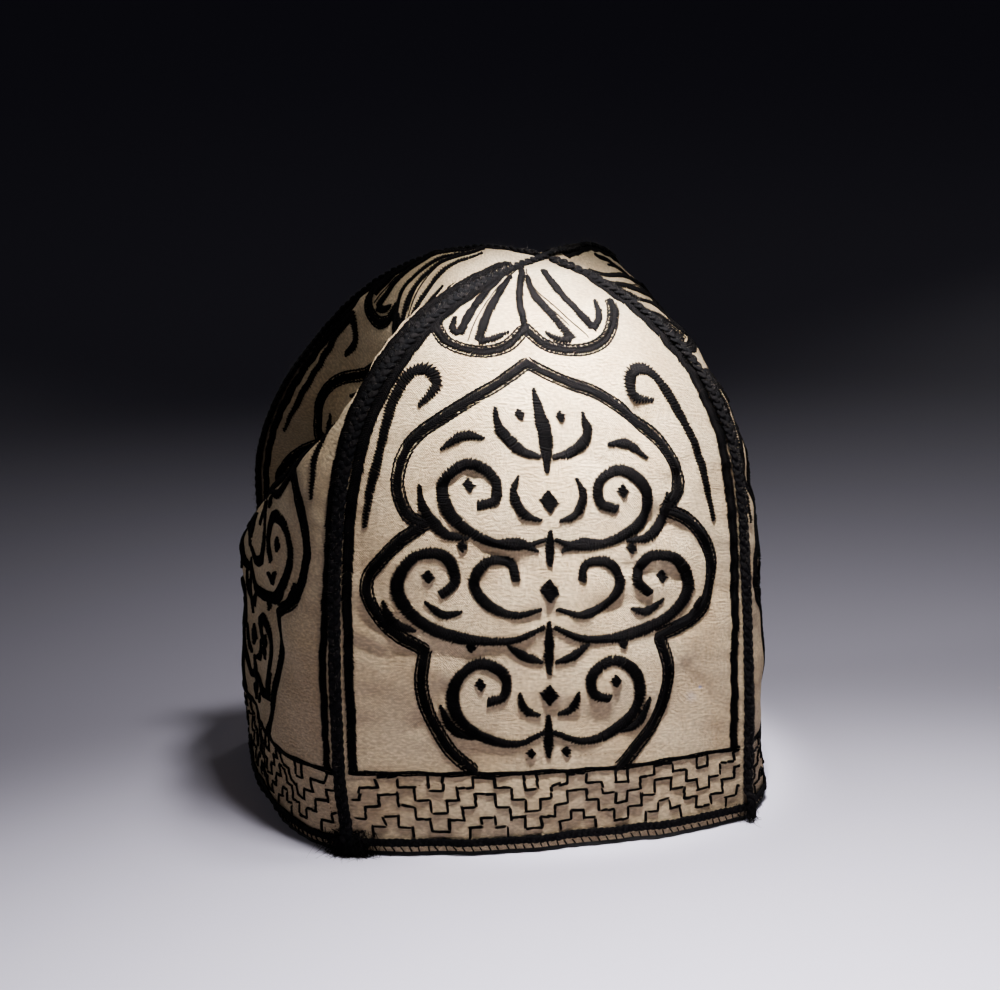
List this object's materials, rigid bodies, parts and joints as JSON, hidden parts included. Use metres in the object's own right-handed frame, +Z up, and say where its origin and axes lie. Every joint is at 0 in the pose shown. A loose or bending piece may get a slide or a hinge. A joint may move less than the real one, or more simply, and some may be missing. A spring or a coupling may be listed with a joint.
{
  "type": "dervish hat",
  "caption": "Tall soft wool cap of four embroidered gores meeting at a low point, with braided seams and a bound edge, standing by itself on its rim.",
  "frame": {"origin": "on the floor that the rim stands on, in the middle of the hat's bounding box", "axes": "+Z up towards the point of the crown, the front gore faces -Y, and +X is to the right of someone who looks at the front gore"},
  "size_m": [0.1762, 0.1707, 0.1907],
  "materials": {
    "cream_wool": "matt woven wool with a short nap",
    "black_braid": "plaited cotton thread",
    "black_binding": "matt woven tape"
  },
  "bodies": {
    "root": {"front_gore": "cream_wool", "right_gore": "cream_wool", "back_gore": "cream_wool", "left_gore": "cream_wool", "seam_braid_front_left_to_back_right": "black_braid", "seam_braid_front_right": "black_braid", "seam_braid_back_left": "black_braid", "rim_braid": "black_braid", "edge_binding": "black_binding"}
  },
  "joints": []
}
